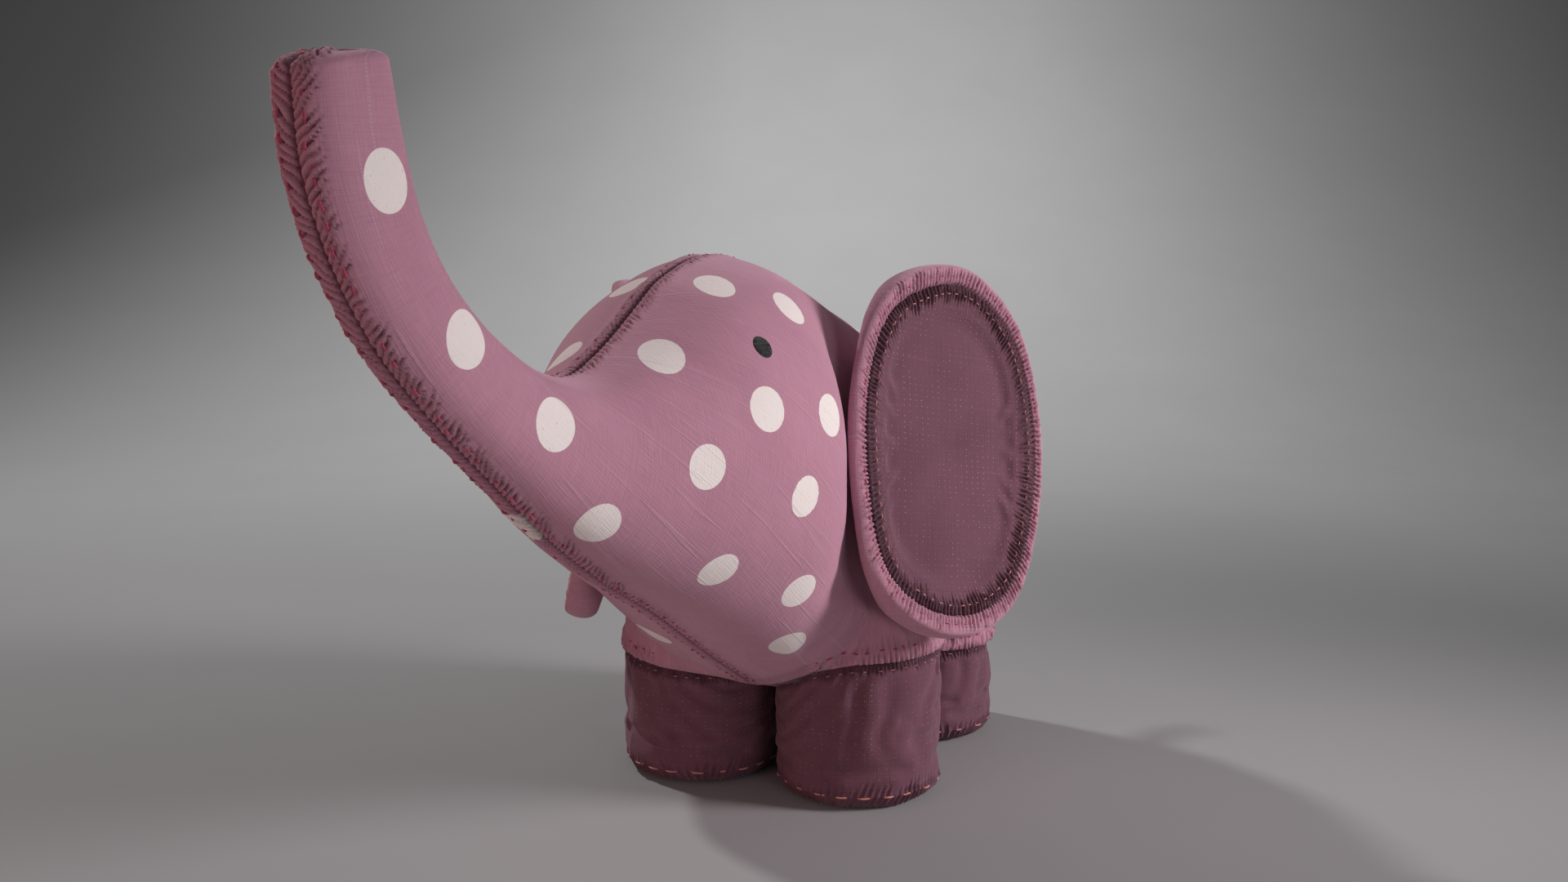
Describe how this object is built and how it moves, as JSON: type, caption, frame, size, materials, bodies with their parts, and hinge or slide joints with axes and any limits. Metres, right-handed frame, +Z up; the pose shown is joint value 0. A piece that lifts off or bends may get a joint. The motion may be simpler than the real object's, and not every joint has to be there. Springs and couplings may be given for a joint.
{
  "type": "stuffed elephant",
  "caption": "Sewn cotton elephant with raised trunk, padded oval ears that flap, short tail and round-soled legs, filled with wadding.",
  "frame": {"origin": "on the floor, on the middle plane, half way along the length from the trunk to the tail; the front feet stand 47.9 mm behind it", "axes": "+Z up; the elephant looks along -Y; its left side is +X; the middle plane is X = 0"},
  "size_m": [0.1968, 0.4052, 0.2365],
  "materials": {
    "pink_cotton": "dusty pink plain weave with off-white round dots, matt",
    "plum_cotton": "dark plum plain weave with pale pin specks, matt",
    "black_cotton": "black plain weave",
    "wadding": "loose polyester filling, hidden",
    "red_thread": "red-pink sewing thread",
    "salmon_thread": "salmon sewing thread"
  },
  "bodies": {
    "body": {"side_panel_left": "pink_cotton", "side_panel_right": "pink_cotton", "belly_panel": "plum_cotton", "body_stuffing": "wadding", "eye_left": "black_cotton", "eye_right": "black_cotton", "underside_seam_thread": "red_thread", "top_seam_thread": "red_thread", "leg_cover_front_left": "plum_cotton", "leg_stuffing_front_left": "wadding", "sole_front_left": "plum_cotton", "sole_thread_front_left": "salmon_thread", "leg_cover_front_right": "plum_cotton", "leg_stuffing_front_right": "wadding", "sole_front_right": "plum_cotton", "sole_thread_front_right": "salmon_thread", "leg_cover_rear_left": "plum_cotton", "leg_stuffing_rear_left": "wadding", "sole_rear_left": "plum_cotton", "sole_thread_rear_left": "salmon_thread", "leg_cover_rear_right": "plum_cotton", "leg_stuffing_rear_right": "wadding", "sole_rear_right": "plum_cotton", "sole_thread_rear_right": "salmon_thread"},
    "ear_left": {"ear_left_back": "pink_cotton", "ear_left_face": "plum_cotton", "ear_left_wadding": "wadding", "ear_left_thread": "salmon_thread"},
    "ear_right": {"ear_right_back": "pink_cotton", "ear_right_face": "plum_cotton", "ear_right_wadding": "wadding", "ear_right_thread": "salmon_thread"},
    "tail": {"tail_cover": "pink_cotton", "tail_stuffing": "wadding"}
  },
  "joints": [
    {"name": "ear_left_flap", "type": "hinge", "parent": "body", "child": "ear_left", "pos_m": [0.0528, 0.00686, 0.133], "axis": [0.1355, -0.0782, -0.9877], "range_deg": [-8, 60]},
    {"name": "ear_right_flap", "type": "hinge", "parent": "body", "child": "ear_right", "pos_m": [-0.0528, 0.00686, 0.133], "axis": [0.1355, 0.0782, 0.9877], "range_deg": [-8, 60]},
    {"name": "tail_wag", "type": "hinge", "parent": "body", "child": "tail", "pos_m": [0, 0.16972, 0.12], "axis": [0, 0, 1], "range_deg": [-35, 35]}
  ]
}
